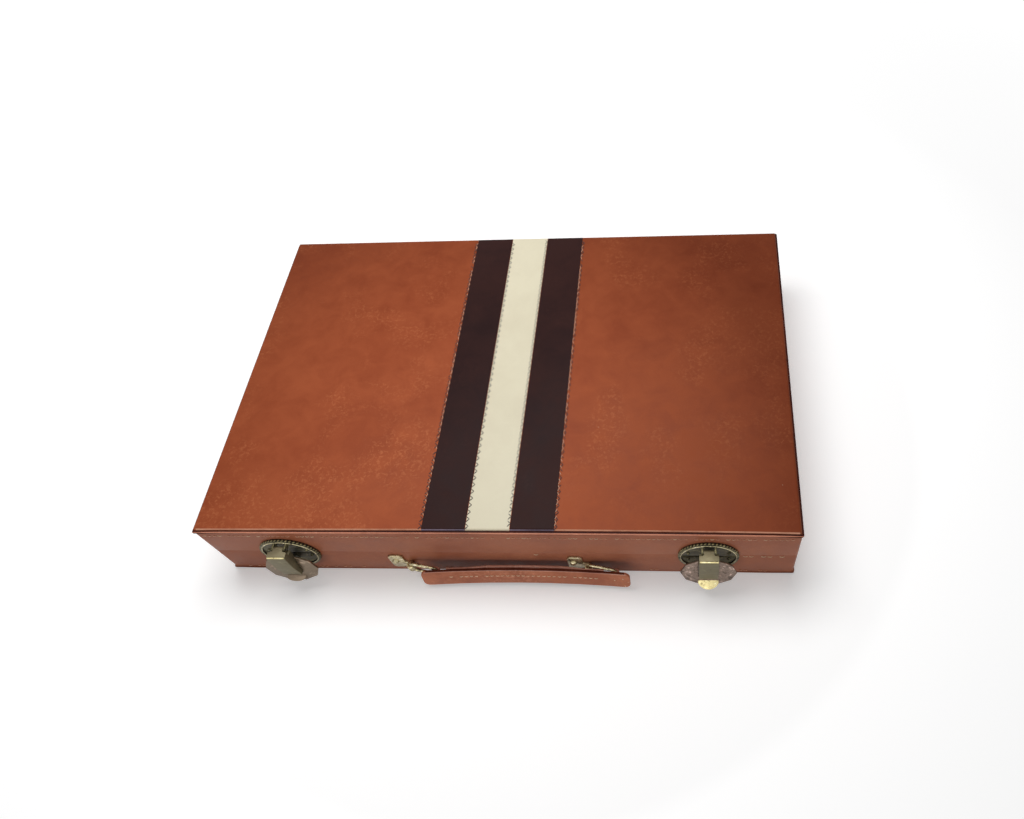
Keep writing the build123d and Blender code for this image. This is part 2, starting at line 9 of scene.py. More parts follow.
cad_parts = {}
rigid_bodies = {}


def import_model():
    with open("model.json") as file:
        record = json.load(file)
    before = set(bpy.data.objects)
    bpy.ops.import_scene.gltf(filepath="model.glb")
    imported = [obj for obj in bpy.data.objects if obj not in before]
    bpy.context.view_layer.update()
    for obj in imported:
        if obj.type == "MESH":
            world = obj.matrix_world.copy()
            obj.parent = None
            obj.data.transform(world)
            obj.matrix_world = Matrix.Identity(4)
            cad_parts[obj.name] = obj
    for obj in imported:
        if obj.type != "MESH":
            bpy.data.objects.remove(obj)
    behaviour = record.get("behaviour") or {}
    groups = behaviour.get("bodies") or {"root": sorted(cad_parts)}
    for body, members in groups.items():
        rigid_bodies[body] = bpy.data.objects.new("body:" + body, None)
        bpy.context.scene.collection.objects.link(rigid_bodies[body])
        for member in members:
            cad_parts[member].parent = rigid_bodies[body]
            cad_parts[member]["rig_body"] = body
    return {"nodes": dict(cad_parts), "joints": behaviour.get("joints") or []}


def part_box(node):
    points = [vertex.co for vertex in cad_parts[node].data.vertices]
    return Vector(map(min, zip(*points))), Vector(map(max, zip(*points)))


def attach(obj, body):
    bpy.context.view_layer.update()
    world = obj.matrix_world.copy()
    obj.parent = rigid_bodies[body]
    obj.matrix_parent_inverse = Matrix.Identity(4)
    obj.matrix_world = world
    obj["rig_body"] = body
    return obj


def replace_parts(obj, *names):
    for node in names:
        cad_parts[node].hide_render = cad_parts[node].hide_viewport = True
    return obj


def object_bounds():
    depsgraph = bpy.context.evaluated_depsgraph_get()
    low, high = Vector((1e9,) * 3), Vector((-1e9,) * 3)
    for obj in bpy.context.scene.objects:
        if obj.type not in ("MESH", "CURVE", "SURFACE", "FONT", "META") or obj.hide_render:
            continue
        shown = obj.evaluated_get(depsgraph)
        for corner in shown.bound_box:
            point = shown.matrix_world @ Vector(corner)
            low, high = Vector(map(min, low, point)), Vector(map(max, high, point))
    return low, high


# A leather-covered attache backgammon board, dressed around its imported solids.
# Metres, in the frame of the solids: X along the hinge, Y to the hinge, Z up.

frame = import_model()
cad_low, cad_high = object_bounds()
joints = {joint["name"]: joint for joint in frame["joints"]}
random.seed(7)

MM = 0.001
UP = Vector((0, 0, 1))
OUT = Vector((0, -1, 0))

# Places read from the frame
top_z = cad_high.z
seam_z = joints["lid_hinge"]["pos_m"][2]
cover_low, cover_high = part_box("base_cover")
band_low, band_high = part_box("base_band")
cream_low, cream_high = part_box("lid_cream_strip")
dark_low, dark_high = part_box("lid_dark_strips")
front_y = band_low.y
cover_thickness = cover_high.z - cover_low.z
lid_band_top_z = top_z - cover_thickness
# Where the lid's panel starts to roll down on the left and the right
side_roll_x = cover_high.x - 2.9 * MM


def linear(value):
    """One sRGB channel, 0 to 255, as the linear value that a shader takes."""
    share = value / 255
    return share / 12.92 if share <= 0.04045 else ((share + 0.055) / 1.055) ** 2.4


def colour(red, green, blue):
    """An sRGB colour, 0 to 255, as a shader takes it."""
    return (linear(red), linear(green), linear(blue), 1)


def colours(*tones):
    """The same for several triples."""
    return [colour(*tone) for tone in tones]


# Material building

PALE_SPECK = colour(232, 206, 176)


class Graph:
    """A new material with short calls for the nodes that the materials here use."""

    def __init__(self, name):
        self.material = bpy.data.materials.new(name)
        self.material.use_nodes = True
        self.tree = self.material.node_tree
        self.shader = self.tree.nodes["Principled BSDF"]
        self.place = self.node("ShaderNodeTexCoord").outputs["Object"]

    def node(self, kind, **values):
        made = self.tree.nodes.new(kind)
        for key, value in values.items():
            setattr(made, key, value)
        return made

    def link(self, source, target):
        self.tree.links.new(source, target)

    def feed(self, node, name, value):
        """Sets an input to a number or colour, or links it to a socket."""
        if isinstance(value, bpy.types.NodeSocket):
            self.link(value, node.inputs[name])
        else:
            node.inputs[name].default_value = value

    def stretched(self, scale):
        mapping = self.node("ShaderNodeMapping")
        self.feed(mapping, "Vector", self.place)
        self.feed(mapping, "Scale", scale)
        return mapping.outputs["Vector"]

    def noise(self, scale, detail=4, roughness=0.55, distortion=0.0, place=None):
        made = self.node("ShaderNodeTexNoise")
        self.feed(made, "Vector", place or self.place)
        self.feed(made, "Scale", scale)
        self.feed(made, "Detail", detail)
        self.feed(made, "Roughness", roughness)
        self.feed(made, "Distortion", distortion)
        return made.outputs["Fac"]

    def cells(self, scale):
        made = self.node("ShaderNodeTexVoronoi")
        self.feed(made, "Vector", self.place)
        self.feed(made, "Scale", scale)
        return made.outputs["Distance"]

    def span(self, value, low, high, to_low=0.0, to_high=1.0):
        """Stretches the range low to high of a value over to_low to to_high."""
        made = self.node("ShaderNodeMapRange")
        self.feed(made, "Value", value)
        self.feed(made, "From Min", low)
        self.feed(made, "From Max", high)
        self.feed(made, "To Min", to_low)
        self.feed(made, "To Max", to_high)
        return made.outputs["Result"]

    def math(self, operation, first, second=0.0):
        made = self.node("ShaderNodeMath", operation=operation)
        self.feed(made, 0, first)
        self.feed(made, 1, second)
        return made.outputs["Value"]

    def blend(self, share, first, second, mode="MIX"):
        made = self.node("ShaderNodeMix", data_type="RGBA", blend_type=mode)
        for index, value in ((0, share), (6, first), (7, second)):
            if isinstance(value, bpy.types.NodeSocket):
                self.link(value, made.inputs[index])
            else:
                made.inputs[index].default_value = value
        return made.outputs[2]

    def axis(self, name):
        parts = self.node("ShaderNodeSeparateXYZ")
        self.feed(parts, "Vector", self.place)
        return parts.outputs[name]

    def bump(self, height, distance, strength=1.0, under=None):
        made = self.node("ShaderNodeBump")
        self.feed(made, "Height", height)
        self.feed(made, "Distance", distance)
        self.feed(made, "Strength", strength)
        if under is not None:
            self.link(under, made.inputs["Normal"])
        return made.outputs["Normal"]

    def finish(self, **values):
        for name, value in values.items():
            self.feed(self.shader, name.replace("_", " "), value)
        return self.material


def leather(
    name,
    light,
    middle,
    dark,
    roughness=0.42,
    gloss=0.25,
    grain=900.0,
    grain_depth=0.08 * MM,
    flecks=0.5,
    specks=0.5,
    painted_falloff=None,
    rubbed=None,
):
    """Glazed leather: slow patches of tone, sponged flecks in clusters, fine pores and a few specks.

    The painted falloff is (tone, centre x, centre y, reach x, reach y): painted shade, the tone that the
    leather darkens to away from the centre, as light falls off round a painted pool of it. The painted
    edge highlight is the colour of a highlight painted on the lid's rolled edge, where it falls below the
    face.
    """
    light, middle, dark = colours(light, middle, dark)
    g = Graph(name)
    # Slow patches and mottling
    slow = g.noise(11.0, detail=3, roughness=0.55, distortion=0.5)
    mottle = g.noise(60.0, detail=4, roughness=0.6, distortion=0.4)
    tone = g.math("ADD", g.math("MULTIPLY", slow, 0.55), g.math("MULTIPLY", mottle, 0.45))
    base = g.blend(g.span(tone, 0.38, 0.6), dark, middle)
    # Sponged flecks, only where clusters of them lie
    clusters = g.noise(26.0, detail=2, roughness=0.5)
    sponge = g.noise(420.0, detail=3, roughness=0.65, distortion=0.6)
    fleck = g.math("MULTIPLY", g.span(clusters, 0.46, 0.6), g.span(sponge, 0.5, 0.68))
    base = g.blend(g.math("MULTIPLY", fleck, flecks), base, light)
    # Dark dots and, more rarely, pale ones
    sparse = g.span(g.noise(34.0, detail=1), 0.54, 0.6)
    dark_dots = g.span(g.cells(150.0), 0.12, 0.05, 0.0, 0.7 * specks)
    base = g.blend(g.math("MULTIPLY", dark_dots, sparse), base, dark)
    rare = g.span(g.noise(21.0, detail=1, place=g.stretched((1.3, 0.8, 1))), 0.58, 0.62)
    pale_dots = g.span(g.cells(64.0), 0.035, 0.022, 0.0, specks)
    base = g.blend(g.math("MULTIPLY", pale_dots, rare), base, PALE_SPECK)
    # Painted shade: darker away from a centre, as light falls off round a pool of it
    if painted_falloff:
        shade, centre_x, centre_y, reach_x, reach_y = painted_falloff
        falloff_shade = g.blend(1.0, base, colour(*shade), "MULTIPLY")
        across = g.math("DIVIDE", g.math("SUBTRACT", g.axis("X"), centre_x), reach_x)
        along = g.math("DIVIDE", g.math("SUBTRACT", g.axis("Y"), centre_y), reach_y)
        away = g.math("ADD", g.math("MULTIPLY", across, across), g.math("MULTIPLY", along, along))
        uneven = g.math("ADD", away, g.math("MULTIPLY", g.math("SUBTRACT", slow, 0.5), 0.5))
        base = g.blend(g.span(uneven, 0.05, 1.4), base, falloff_shade)
    if rubbed:
        # A painted highlight, only on the roll under the face, most towards the front,
        # and hardly at the two sides
        rolled = g.span(g.axis("Z"), top_z - 0.05 * MM, top_z - 0.3 * MM)
        under = g.span(g.axis("Z"), top_z - 1.15 * MM, top_z - 0.8 * MM)
        patchy = g.span(g.noise(30.0, detail=5, roughness=0.7), 0.3, 0.55, 0.35, 0.95)
        towards_front = g.span(g.axis("Y"), -0.1, -0.118, 0.25, 1.0)
        from_middle = g.math("ABSOLUTE", g.axis("X"))
        inside = g.span(from_middle, side_roll_x, side_roll_x + 0.6 * MM, 1.0, 0.1)
        reached = g.math("MULTIPLY", g.math("MULTIPLY", patchy, towards_front), inside)
        highlight_share = g.math("MULTIPLY", g.math("MULTIPLY", rolled, under), reached)
        base = g.blend(highlight_share, base, colour(*rubbed))
    # Fine pores over soft waves
    pores = g.cells(grain)
    wrinkles = g.noise(grain * 0.35, detail=5, roughness=0.6)
    height = g.math("ADD", g.math("MULTIPLY", pores, 0.6), g.math("MULTIPLY", wrinkles, 0.8))
    fine = g.bump(height, grain_depth, 0.5)
    wavy = g.bump(g.noise(38.0, detail=2), 0.5 * MM, 0.25, under=fine)
    rough = g.span(mottle, 0.3, 0.7, roughness - 0.06, roughness + 0.08)
    return g.finish(Base_Color=base, Roughness=rough, Normal=wavy, Specular_IOR_Level=gloss)


def metal(name, worn, body, grime, roughness=0.36, metallic=0.85, scale=260.0, share=0.5):
    """Antiqued plating: dark grime in blotches over a tinted metal that is rubbed bright in spots."""
    worn, body, grime = colours(worn, body, grime)
    g = Graph(name)
    blotch = g.noise(scale, detail=6, roughness=0.7, distortion=0.8)
    speck = g.noise(scale * 5, detail=3, roughness=0.6)
    low_edge = 0.3 + 0.2 * share
    base = g.blend(g.span(blotch, low_edge - 0.06, low_edge + 0.08), grime, body)
    base = g.blend(g.span(blotch, 0.56, 0.7), base, worn)
    base = g.blend(g.span(speck, 0.6, 0.78, 0.0, 0.6), base, grime)
    scratch = g.noise(90.0, detail=8, roughness=0.75, place=g.stretched((1, 1, 9)))
    rough = g.span(scratch, 0.3, 0.7, roughness - 0.1, roughness + 0.16)
    dents = g.bump(blotch, 0.12 * MM, 0.5)
    fine = g.bump(scratch, 0.05 * MM, 0.4, under=dents)
    return g.finish(Base_Color=base, Metallic=metallic, Roughness=rough, Normal=fine)


def thread(name, tint, shade):
    tint, shade = colours(tint, shade)
    g = Graph(name)
    twist = g.noise(1800.0, detail=2)
    base = g.blend(g.span(twist, 0.35, 0.65), shade, tint)
    return g.finish(Base_Color=base, Roughness=0.7, Normal=g.bump(twist, 0.08 * MM, 0.6))


def wood(name, light, dark, roughness=0.6):
    light, dark = colours(light, dark)
    g = Graph(name)
    grain = g.noise(14.0, detail=8, roughness=0.65, distortion=1.4, place=g.stretched((1, 9, 9)))
    pores = g.noise(260.0, detail=3, place=g.stretched((0.12, 1, 1)))
    base = g.blend(g.span(grain, 0.35, 0.65), dark, light)
    base = g.blend(g.span(pores, 0.55, 0.72, 0.0, 0.5), base, dark)
    return g.finish(Base_Color=base, Roughness=roughness, Normal=g.bump(pores, 0.08 * MM, 0.4))


def felt(name, light, dark):
    light, dark = colours(light, dark)
    g = Graph(name)
    fibres = g.noise(1500.0, detail=5, roughness=0.75)
    cloud = g.noise(30.0, detail=3)
    base = g.blend(g.span(cloud, 0.35, 0.65), dark, light)
    base = g.blend(g.span(fibres, 0.4, 0.7, 0.0, 0.45), base, dark)
    nap = g.bump(fibres, 0.2 * MM, 0.7)
    return g.finish(Base_Color=base, Roughness=0.92, Normal=nap, Sheen_Weight=0.25)


def plastic(name, light, dark, roughness=0.22):
    """Marbled resin, as playing pieces are cast."""
    light, dark = colours(light, dark)
    g = Graph(name)
    swirl = g.noise(70.0, detail=6, roughness=0.6, distortion=2.5)
    scuffs = g.noise(500.0, detail=3)
    base = g.blend(g.span(swirl, 0.38, 0.62), dark, light)
    rough = g.span(scuffs, 0.35, 0.7, roughness, roughness + 0.16)
    return g.finish(Base_Color=base, Roughness=rough, Normal=g.bump(scuffs, 0.01 * MM, 0.3))


# Painted shade: the lid's tan darkens from the middle of its front edge to its far corners, the band to
# its left end, as the light falls off
LID_PAINTED_FALLOFF = ((180, 172, 168), -0.042, -0.095, 0.208, 0.25)
BAND_PAINTED_FALLOFF = ((214, 204, 192), 0.06, 0.0, 0.27, 3.0)
TAN = leather(
    "tan_leather",
    (192, 112, 72),
    (166, 85, 52),
    (148, 71, 42),
    gloss=0.05,
    painted_falloff=LID_PAINTED_FALLOFF,
    # A highlight painted on the lid's rolled front edge
    rubbed=(226, 168, 138),
)
BAND = leather(
    "band_leather",
    (186, 122, 90),
    (170, 104, 76),
    (150, 86, 60),
    gloss=0.12,
    grain=700.0,
    flecks=0.3,
    painted_falloff=BAND_PAINTED_FALLOFF,
)
# Painted highlight: a paler copy of the band leather for the lid's welt, where its top catches the light
EDGE = leather("welt_highlight_leather", (216, 150, 122), (194, 126, 98), (164, 98, 72), gloss=0.3)
# Painted shade: dark leather in the lid's groove, for the shadow under the panel's edge and the right side
GROOVE_SHADE = leather("painted_groove_shade", (84, 34, 22), (62, 20, 12), (42, 12, 8), gloss=0.05, specks=0.0)
DARK = leather(
    "dark_leather",
    (62, 38, 34),
    (52, 31, 29),
    (43, 27, 27),
    roughness=0.34,
    gloss=0.03,
    grain_depth=0.03 * MM,
    flecks=0.25,
    # A bluish highlight painted on the strips' rolled front ends
    rubbed=(150, 138, 158),
)
CREAM = leather(
    "cream_leather",
    (228, 221, 196),
    (223, 215, 189),
    (217, 208, 182),
    roughness=0.4,
    gloss=0.15,
    flecks=0.2,
    specks=0.15,
)
STRAP = leather("strap_leather", (232, 158, 124), (204, 128, 94), (170, 98, 68), gloss=0.14)
CUT_EDGE = leather("cut_leather_edge", (250, 206, 186), (232, 178, 156), (192, 132, 112), gloss=0.1)
SHADED = leather("shaded_leather", (132, 70, 48), (112, 54, 36), (84, 38, 26), gloss=0.05)
BRASS = metal("antique_brass", (176, 166, 120), (96, 90, 64), (40, 36, 26))
ROPE = metal("rubbed_rope", (206, 196, 150), (128, 120, 86), (52, 47, 34), share=0.3)
RIM_DARK_BRASS = metal("dark_rim_brass", (92, 84, 56), (46, 42, 30), (26, 23, 17), metallic=0.5, roughness=0.55)
WIRE = metal("bright_hardware", (255, 246, 222), (196, 184, 146), (66, 58, 42), roughness=0.26)
MOTTLED = metal(
    "mottled_brass", (224, 196, 182), (132, 114, 102), (66, 54, 46), scale=330.0, share=0.5
)
SMOOTH = metal("brown_brass", (186, 164, 142), (120, 105, 88), (80, 68, 56), scale=120.0, share=0.0)
# Painted highlight: the pale brass of the right thumb lip and of the rods along the bars' top edges
HIGHLIGHT_BRASS = metal("rubbed_brass", (250, 246, 206), (206, 192, 140), (112, 98, 66), scale=330.0, share=0.42)
BAR = metal(
    "olive_brass", (136, 128, 98), (110, 102, 78), (86, 78, 60), 0.5, 0.7, scale=90.0, share=0.0
)
HINGE = metal("hinge_brass", (206, 184, 128), (160, 134, 82), (84, 68, 42), roughness=0.34)
STEEL = metal("spring_steel", (200, 200, 198), (150, 150, 148), (84, 82, 78), roughness=0.3)
CREAM_THREAD = thread("cream_thread", (250, 230, 196), (228, 194, 156))
FADED_THREAD = thread("faded_thread", (226, 178, 148), (198, 146, 116))
DARK_THREAD = thread("dark_thread", (58, 46, 50), (34, 26, 30))
WOOD = wood("case_wood", (196, 154, 108), (150, 108, 68))
FELT = felt("field_felt", (132, 74, 48), (98, 50, 32))
LIGHT_POINT = leather("light_inlay", (232, 224, 204), (222, 212, 190), (206, 194, 168), specks=0.1)
DARK_POINT = leather("dark_inlay", (66, 42, 38), (50, 32, 30), (40, 26, 25), specks=0.1)
IVORY = plastic("ivory_resin", (240, 232, 208), (222, 208, 174))
UMBER = plastic("umber_resin", (86, 44, 32), (52, 26, 20))
CUP = leather("cup_leather", (110, 62, 42), (88, 48, 32), (60, 32, 22), grain=1200.0)
PIP = plastic("pip_black", (30, 26, 26), (16, 14, 14))


# Mesh building


def finish_mesh(bm, name, material, body, smooth=35.0):
    """Turns a bmesh into a piece of the part that rides on a body."""
    bmesh.ops.recalc_face_normals(bm, faces=bm.faces)
    mesh = bpy.data.meshes.new(name)
    bm.to_mesh(mesh)
    bm.free()
    mesh.materials.append(material)
    piece = bpy.data.objects.new(name, mesh)
    bpy.context.scene.collection.objects.link(piece)
    for face in mesh.polygons:
        face.use_smooth = True
    mesh.set_sharp_from_angle(angle=math.radians(smooth))
    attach(piece, body)
    return piece


def dressed(node, material, width, segments=3, angle=28.0):
    """A copy of a CAD node's own shape with its edges softened, standing for the node."""
    source = frame["nodes"][node]
    bm = bmesh.new()
    bm.from_mesh(source.data)
    bmesh.ops.remove_doubles(bm, verts=bm.verts, dist=0.002 * MM)
    bmesh.ops.dissolve_limit(bm, angle_limit=math.radians(1.0), verts=bm.verts, edges=bm.edges)
    sharp = [e for e in bm.edges if len(e.link_faces) == 2 and e.calc_face_angle(0) > math.radians(angle)]
    bmesh.ops.bevel(
        bm, geom=sharp, offset=width, segments=segments, profile=0.5, affect="EDGES", clamp_overlap=True
    )
    piece = finish_mesh(bm, node + "_softened", material, source["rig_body"])
    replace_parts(piece, node)
    return piece


def paint(node, material):
    """Gives a CAD node whose shape is right its own material."""
    data = frame["nodes"][node].data
    data.materials.clear()
    data.materials.append(material)


def add_loops(bm, loops, cap=True):
    """Skins a list of rings of points."""
    rings = [[bm.verts.new(point) for point in loop] for loop in loops]
    count = len(rings[0])
    for ring, following in zip(rings, rings[1:]):
        for index in range(count):
            after = (index + 1) % count
            bm.faces.new((ring[index], ring[after], following[after], following[index]))
    if cap:
        bm.faces.new(list(reversed(rings[0])))
        bm.faces.new(rings[-1])
    return rings


def tube(bm, path, radius, sides=10, closed=False):
    """A round wire along a path; radius is a number or a function of the share of the way."""
    points = [Vector(p) for p in path]
    count = len(points)
    turns = [2 * math.pi * k / sides for k in range(sides)]
    loops = []
    normal = None
    for index, point in enumerate(points):
        before = points[index - 1] if index or closed else point
        after = points[(index + 1) % count] if index + 1 < count or closed else point
        along = (after - before).normalized()
        if normal is None:
            normal = along.orthogonal().normalized()
        normal = (normal - along * normal.dot(along)).normalized()
        side = along.cross(normal)
        size = radius(index / (count - 1)) if callable(radius) else radius
        loops.append([point + (normal * math.cos(t) + side * math.sin(t)) * size for t in turns])
    if closed:
        rings = add_loops(bm, loops, cap=False)
        for k in range(sides):
            after = (k + 1) % sides
            bm.faces.new((rings[-1][k], rings[-1][after], rings[0][after], rings[0][k]))
    else:
        add_loops(bm, loops)


def stitch(bm, start, end, lift, radius):
    """One stitch: a thread that rises out of its hole, lies on the leather and dives back."""
    start = Vector(start)
    end = Vector(end)
    steps = 5
    path = []
    for index in range(steps + 1):
        share = index / steps
        path.append(start.lerp(end, share) + lift * (math.sin(math.pi * share) * 1.6 - 0.6))
    tube(bm, path, lambda share: radius * (0.75 + 0.25 * math.sin(math.pi * share)), sides=6)


def stitch_row(bm, start, end, pitch, length, lift, radius, missing=0.0, wander=0.12):
    """A straight row of stitches, with some worn away and each a little uneven."""
    start = Vector(start)
    end = Vector(end)
    along = (end - start).normalized()
    count = max(1, round((end - start).length / pitch))
    step = (end - start).length / count
    across = along.cross(lift.normalized())
    for index in range(count):
        if random.random() < missing:
            continue
        here = start + along * (index + 0.5) * step + across * random.uniform(-wander, wander) * MM
        half = along * length / 2 * random.uniform(0.85, 1.05)
        stitch(bm, here - half, here + half, lift, radius)


def dome(bm, centre, out, radius, height, rings=5, sides=20):
    """A low round head; out is the way it faces."""
    centre = Vector(centre)
    out = Vector(out).normalized()
    side = out.orthogonal().normalized()
    up = out.cross(side)
    turns = [2 * math.pi * k / sides for k in range(sides)]
    loops = []
    for index in range(rings + 1):
        angle = math.pi / 2 * index / (rings + 0.4)
        spread = radius * math.cos(angle)
        rise = height * math.sin(angle)
        middle = centre + out * rise
        loops.append([middle + (side * math.cos(t) + up * math.sin(t)) * spread for t in turns])
    add_loops(bm, loops)


# The leather panels and the stripes

welt_inset = 0.6 * MM
welt_radius = 0.55 * MM
panel_inset = 2.1 * MM
panel_round = 1.5 * MM
# How much less the panel stands in along the left, back and right sides than along the front
side_ease = (1.65 * MM, 1.65 * MM, 0.9 * MM)
groove_depth = 1.3 * MM
outer_corner = 2.0 * MM
# How far the middle of the panel's front edge falls back from a straight line
bow_depth = 1.0 * MM
stripe_lift = 0.12 * MM
# How far a dark strip keeps off the cream one
tuck = 0.1 * MM


def front_bow(x):
    """How far the panel's front edge falls back from a straight line, at x."""
    share = x / cover_high.x
    return max(0.0, 1 - share * share) * (1 + 0.5 * share) * bow_depth


def case_path(inset, z, ease=(0.0, 0.0, 0.0)):
    """Points round the case at height z, inset from its outer edge, less the ease of the other sides."""
    corner = max(outer_corner - inset, 0.4 * MM)
    left, back, right = ease
    half = Vector((cover_high.x - inset, cover_high.y - inset))
    points = []
    for start, (side_x, side_y) in enumerate(((1, 1), (-1, 1), (-1, -1), (1, -1))):
        centre = Vector((side_x * (half.x - corner), side_y * (half.y - corner)))
        centre += Vector((right if side_x > 0 else -left, back if side_y > 0 else 0.0))
        for k in range(6):
            turn = math.pi / 2 * (start + k / 5)
            points.append((centre.x + corner * math.cos(turn), centre.y + corner * math.sin(turn), z))
        if (side_x, side_y) == (-1, -1):
            for k in range(1, 24):
                x = (half.x - corner) * (k / 12 - 1)
                points.append((x, -half.y + front_bow(x), z))
    return points


def panel(name, body, face_z, towards):
    """The leather panel of a large face, its edges rolled down into a groove."""
    section = []
    for k in range(8):
        turn = math.pi / 2 * k / 7
        across = panel_inset + panel_round * (1 - math.cos(turn))
        section.append((across, min(groove_depth, panel_round * (1 - math.sin(turn)))))
    bm = bmesh.new()
    add_loops(bm, [case_path(inset, face_z - towards * depth, side_ease) for inset, depth in section])
    return finish_mesh(bm, name, TAN, body)


def groove(name, body, face_z, towards, material):
    """The line between a panel and the welt."""
    skin = 0.1 * MM
    inner = panel_inset + 0.3 * MM
    section = ((skin, groove_depth + skin), (skin, groove_depth), (inner, groove_depth))
    bm = bmesh.new()
    add_loops(bm, [case_path(inset, face_z - towards * depth) for inset, depth in section], cap=False)
    return finish_mesh(bm, name, material, body)


def welt(name, body, face_z, towards, material):
    """The band's turned edge, a thin roll along the front of the panel."""
    bm = bmesh.new()
    level = face_z - towards * 0.76 * MM
    half_x = cover_high.x - welt_inset
    path = []
    for k in range(41):
        x = half_x * (k / 20 - 1)
        path.append((x, cover_low.y + welt_inset + front_bow(x) * 0.6, level))
    tube(bm, path, lambda share: welt_radius * min(1.0, 0.35 + 16 * min(share, 1 - share)), sides=10)
    return finish_mesh(bm, name, material, body, 60.0)


def stripe_profile(x, depth):
    """A stripe's section from front to back at x, sunk by depth under its full height."""
    front = -cover_high.y + panel_inset + front_bow(x)
    face = top_z + stripe_lift - depth
    points = [(front, top_z - groove_depth)]
    for k in range(7):
        turn = math.pi / 2 * k / 6
        across = panel_round * (1 - math.cos(turn))
        points.append((front + across, face - panel_round * (1 - math.sin(turn))))
    back_end = cover_high.y - panel_inset + side_ease[1]
    back = [(back_end - (y - front), z) for y, z in reversed(points)]
    return points + back


def stripe(name, low_x, high_x, material, node):
    """A strip of leather laid over the lid from front to back, with its long edges rounded down."""
    edge = 0.45 * MM
    steps = 5
    sink = 0.15 * MM
    turn = [math.pi / 2 * k / steps for k in range(steps + 1)]
    near = [(low_x + edge * (1 - math.cos(t)), math.sin(t)) for t in turn]
    far = [(low_x + high_x - x, share) for x, share in reversed(near)]
    bm = bmesh.new()
    loops = []
    for x, share in near + far:
        section = stripe_profile(x, (stripe_lift + sink) * (1 - share))
        loops.append([(x, y, z) for y, z in section])
    add_loops(bm, loops)
    piece = finish_mesh(bm, name, material, "lid")
    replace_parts(piece, node)
    return piece


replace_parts(panel("lid_panel", "lid", top_z, 1), "lid_tan_leather")
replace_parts(panel("base_panel", "base", 0.0, -1), "base_cover")
# The lid's groove is painted dark as shade; the base's keeps the band's leather
groove("lid_groove", "lid", top_z, 1, GROOVE_SHADE)
groove("base_groove", "base", 0.0, -1, BAND)
# The lid's welt is painted paler as a highlight; the base's keeps the band's leather
welt("lid_welt", "lid", top_z, 1, EDGE)
welt("base_welt", "base", 0.0, -1, BAND)
dressed("lid_band", BAND, 0.2 * MM)
dressed("base_band", BAND, 0.2 * MM)
stripe("lid_cream_stripe", cream_low.x, cream_high.x, CREAM, "lid_cream_strip")
stripe("lid_dark_stripe_left", dark_low.x, cream_low.x - tuck, DARK, "lid_dark_strips")
stripe("lid_dark_stripe_right", cream_high.x + tuck, dark_high.x, DARK, "lid_dark_strips")


def zigzag(name, seam_x, reach_left, reach_right, material, missing, phase):
    """Stitches that cross a seam from side to side, along the whole lid."""
    pitch = 4.8 * MM
    start_y = cover_low.y + 3.6 * MM
    end_y = cover_high.y - 2.6 * MM
    count = int((end_y - start_y) / pitch)
    radius = 0.22 * MM
    lift = UP * radius
    level = top_z + stripe_lift
    bm = bmesh.new()
    for index in range(count):
        y = start_y + (index + phase) * pitch
        left = Vector((seam_x - reach_left, y, level))
        right = Vector((seam_x + reach_right, y + pitch * 0.42, level))
        if random.random() >= missing:
            stitch(bm, left, right, lift, radius)
        if random.random() >= missing:
            stitch(bm, right, left + Vector((0, pitch * 0.8, 0)), lift, radius)
    return finish_mesh(bm, name, material, "lid")


# Name, seam, reach to the left and to the right in mm, thread, slot, share missing, phase
seams = (
    ("stitches_cream_left", cream_low.x, 0.3, 1.9, DARK_THREAD, "dark_leather", 0.0, 0.0),
    ("stitches_cream_right", cream_high.x, 1.7, 0.3, DARK_THREAD, "dark_leather", 0.0, 0.4),
    ("stitches_tan_left", dark_low.x, 1.9, 0.2, DARK_THREAD, "dark_leather", 0.12, 0.0),
    ("stitches_tan_right", dark_high.x, 0.2, 1.8, DARK_THREAD, "dark_leather", 0.08, 0.0),
    ("pale_stitches_left", dark_low.x, 0.8, 0.1, FADED_THREAD, "cream_leather", 0.3, 0.5),
    ("pale_stitches_right", dark_high.x, 0.1, 0.9, FADED_THREAD, "cream_leather", 0.25, 0.5),
)
for name, seam_x, left, right, material, slot, missing, phase in seams:
    zigzag(name, seam_x, left * MM, right * MM, material, missing, phase)


def band_stitches(name, body, z, missing, material):
    """A row of stitches round the sides of one tray."""
    low = band_low
    high = band_high
    inset = 4 * MM
    stand = 0.02 * MM
    runs = (
        ((low.x + inset, low.y - stand, z), (high.x - inset, low.y - stand, z), OUT),
        ((high.x + stand, low.y + inset, z), (high.x + stand, high.y - inset, z), Vector((1, 0, 0))),
        ((high.x - inset, high.y + stand, z), (low.x + inset, high.y + stand, z), Vector((0, 1, 0))),
        ((low.x - stand, high.y - inset, z), (low.x - stand, low.y + inset, z), Vector((-1, 0, 0))),
    )
    bm = bmesh.new()
    for start, end, out in runs:
        stitch_row(bm, start, end, 3.2 * MM, 2.5 * MM, out * 0.2 * MM, 0.24 * MM, missing=missing)
    return finish_mesh(bm, name, material, body)


lid_row_z = lid_band_top_z - 4.6 * MM
base_row_z = 3.4 * MM
band_stitches("stitches_lid_band", "lid", lid_row_z, 0.15, FADED_THREAD)
band_stitches("worn_stitches_lid_band", "lid", lid_row_z, 0.6, CREAM_THREAD)
band_stitches("stitches_base_band", "base", base_row_z, 0.5, FADED_THREAD)


def rim_stitches(name, low_x, high_x, missing):
    """The row just under the base's rim, along part of the front."""
    bm = bmesh.new()
    level = seam_z - 2.4 * MM
    stand = 0.02 * MM
    start = (low_x, front_y - stand, level)
    end = (high_x, front_y - stand, level)
    stitch_row(bm, start, end, 4.0 * MM, 3.2 * MM, OUT * 0.2 * MM, 0.22 * MM, missing=missing)
    return finish_mesh(bm, name, CREAM_THREAD, "base")


rim_stitches("stitches_rim_right", 0.155, band_high.x - 4 * MM, 0.2)
rim_stitches("stitches_rim_left", band_low.x + 4 * MM, 0.11, 0.93)

# The latches

